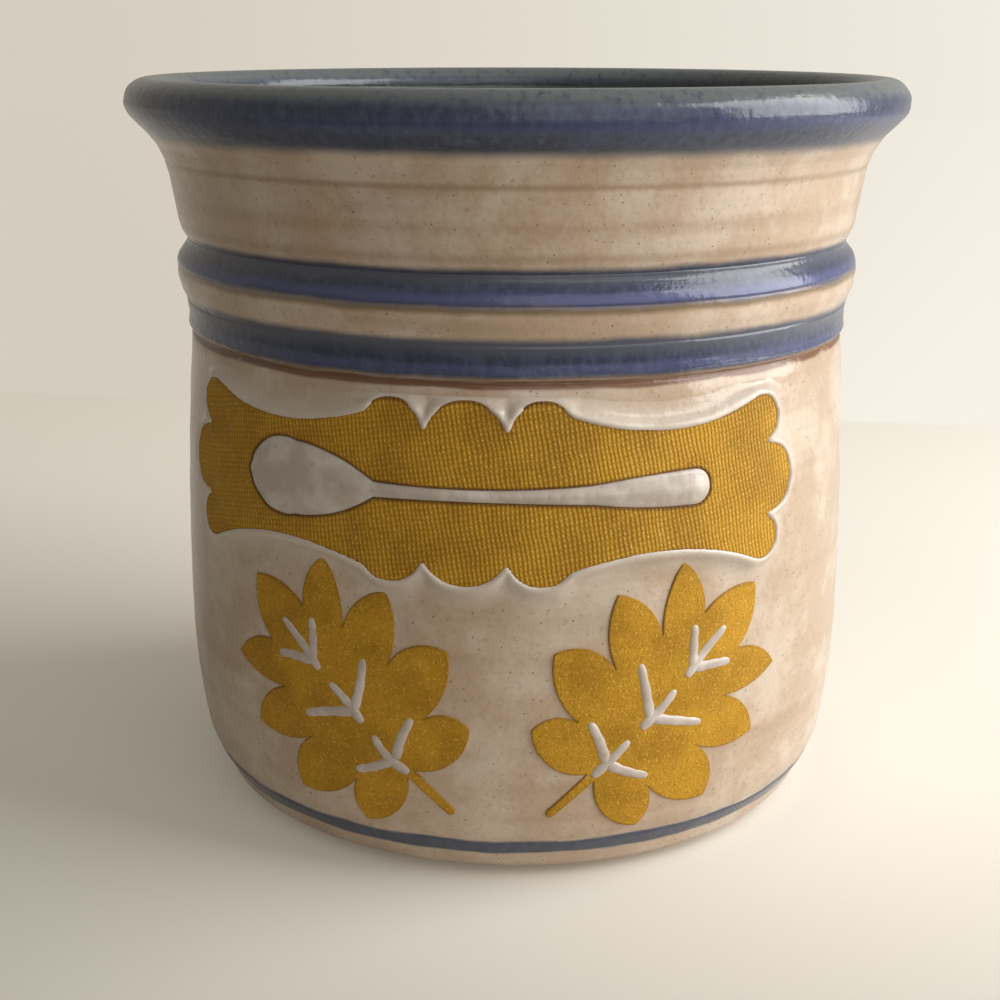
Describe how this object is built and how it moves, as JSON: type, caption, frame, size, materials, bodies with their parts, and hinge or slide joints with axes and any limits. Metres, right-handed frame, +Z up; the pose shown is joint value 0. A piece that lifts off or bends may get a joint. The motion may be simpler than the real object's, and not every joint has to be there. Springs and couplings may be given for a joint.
{
  "type": "utensil crock",
  "caption": "Wide-mouthed glazed stoneware crock that holds kitchen utensils, with a rolled lip, beaded neck, brushed blue bands, a scalloped plate and leaf ornaments.",
  "frame": {"origin": "centre of the foot ring, on the table it stands on", "axes": "+Z up along the pot's axis, -Y out through the middle of the plate, +X to the right seen from the front"},
  "size_m": [0.1601, 0.1602, 0.1499],
  "materials": {
    "cream_glaze": "glossy cream glaze, mottled and speckled, over buff stoneware",
    "blue_glaze": "glossy brushed cobalt glaze, streaked",
    "ochre_plate": "dry ochre slip over a woven texture",
    "white_glaze": "glossy white glaze",
    "ochre_slip": "dry granular ochre slip"
  },
  "bodies": {
    "root": {"stoneware_pot": "cream_glaze", "rim_blue_band": "blue_glaze", "upper_blue_band": "blue_glaze", "lower_blue_band": "blue_glaze", "base_blue_line": "blue_glaze", "name_plate": "ochre_plate", "spoon_inlay": "white_glaze", "left_leaf": "ochre_slip", "right_leaf": "ochre_slip"}
  },
  "joints": []
}
